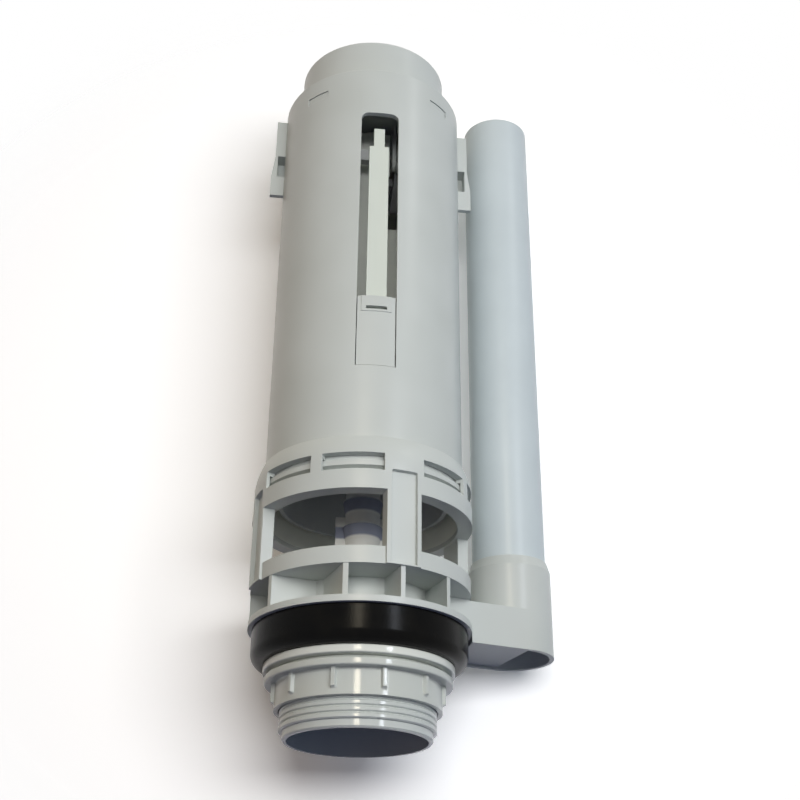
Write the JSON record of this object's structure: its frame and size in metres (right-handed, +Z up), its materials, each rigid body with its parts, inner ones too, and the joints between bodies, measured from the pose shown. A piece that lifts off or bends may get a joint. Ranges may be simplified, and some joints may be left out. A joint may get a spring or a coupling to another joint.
{
  "type": "toilet flush valve",
  "caption": "Dual flush valve with a threaded outlet base, flow cage, swivelling tower, side overflow tube, and plungers that lift a sealed stem through levers.",
  "frame": {"origin": "on the outlet's axis at the gasket's underside, the plane of the cistern floor", "axes": "+Z up the tower, +X towards the overflow tube, -Y to the front column of the cage"},
  "size_m": [0.1289, 0.0888, 0.3137],
  "materials": {
    "shell": "moulded ABS, satin",
    "nut": "moulded, glossy",
    "tube": "extruded, satin",
    "strip": "moulded, satin",
    "inner": "moulded, satin",
    "rubber": "moulded rubber",
    "steel": "drawn wire"
  },
  "bodies": {
    "base": {"valve_base": "shell", "duct_floor": "shell", "base_gasket": "rubber", "overflow_tube": "tube", "tube_seal": "rubber"},
    "washer": {"slip_washer": "nut"},
    "nut": {"back_nut": "nut"},
    "tower": {"tower_shell": "shell", "top_cap": "shell", "full_spring": "steel", "half_spring": "steel", "full_lever_pin": "steel", "half_lever_pin": "steel"},
    "full_button": {"full_plunger": "shell"},
    "half_button": {"half_plunger": "shell"},
    "full_rocker": {"full_lever": "inner"},
    "half_rocker": {"half_lever": "inner"},
    "valve": {"valve_stem": "inner", "lift_arm": "inner", "seal_washer": "rubber", "seal_retainer": "inner", "main_float": "inner", "float_clip": "inner"},
    "strip": {"half_strip": "strip"},
    "float_slider": {"half_float": "shell"}
  },
  "joints": [
    {"name": "tower_swivel", "type": "hinge", "parent": "base", "child": "tower", "pos_m": [0, 0, 0.0591], "axis": [0, 0, 1], "continuous": true},
    {"name": "washer_travel", "type": "slide", "parent": "base", "child": "washer", "axis": [0, 0, -1], "range_m": [0, 0.0138]},
    {"name": "nut_spin", "type": "hinge", "parent": "washer", "child": "nut", "pos_m": [0, 0, -0.01], "axis": [0, 0, -1], "range_deg": [0, 2160]},
    {"name": "full_press", "type": "slide", "parent": "tower", "child": "full_button", "axis": [0, 0, -1], "range_m": [0, 0.008], "stiffness_N_per_m": 250, "springref_m": -0.006, "deforming": ["full_spring"]},
    {"name": "full_lever_swing", "type": "hinge", "parent": "tower", "child": "full_rocker", "pos_m": [0.00918, -0.01317, 0.2342], "axis": [0.9627, -0.2706, 0], "range_deg": [0, 35.84]},
    {"name": "valve_lift", "type": "slide", "parent": "tower", "child": "valve", "axis": [0, 0, 1], "range_m": [0, 0.01538]},
    {"name": "half_press", "type": "slide", "parent": "tower", "child": "half_button", "axis": [0, 0, -1], "range_m": [0, 0.008], "stiffness_N_per_m": 250, "springref_m": -0.006, "deforming": ["half_spring"]},
    {"name": "half_lever_swing", "type": "hinge", "parent": "tower", "child": "half_rocker", "pos_m": [-0.01053, 0.00835, 0.2342], "axis": [-0.9627, 0.2706, 0], "range_deg": [0, 25.68]},
    {"name": "strip_lift", "type": "slide", "parent": "tower", "child": "strip", "axis": [0, 0, 1], "range_m": [0, 0.01662]},
    {"name": "float_adjust", "type": "slide", "parent": "strip", "child": "float_slider", "axis": [0, 0, 1], "range_m": [0, 0.06]}
  ],
  "couplings": [
    {"joint": "washer_travel", "follows": "nut_spin", "m_per_rad": 0.00036606},
    {"joint": "full_lever_swing", "follows": "full_press", "rad_per_m": 78.192},
    {"joint": "valve_lift", "follows": "full_press", "ratio": 1.9231},
    {"joint": "half_lever_swing", "follows": "half_press", "rad_per_m": 56.023},
    {"joint": "strip_lift", "follows": "half_press", "ratio": 2.0774}
  ]
}
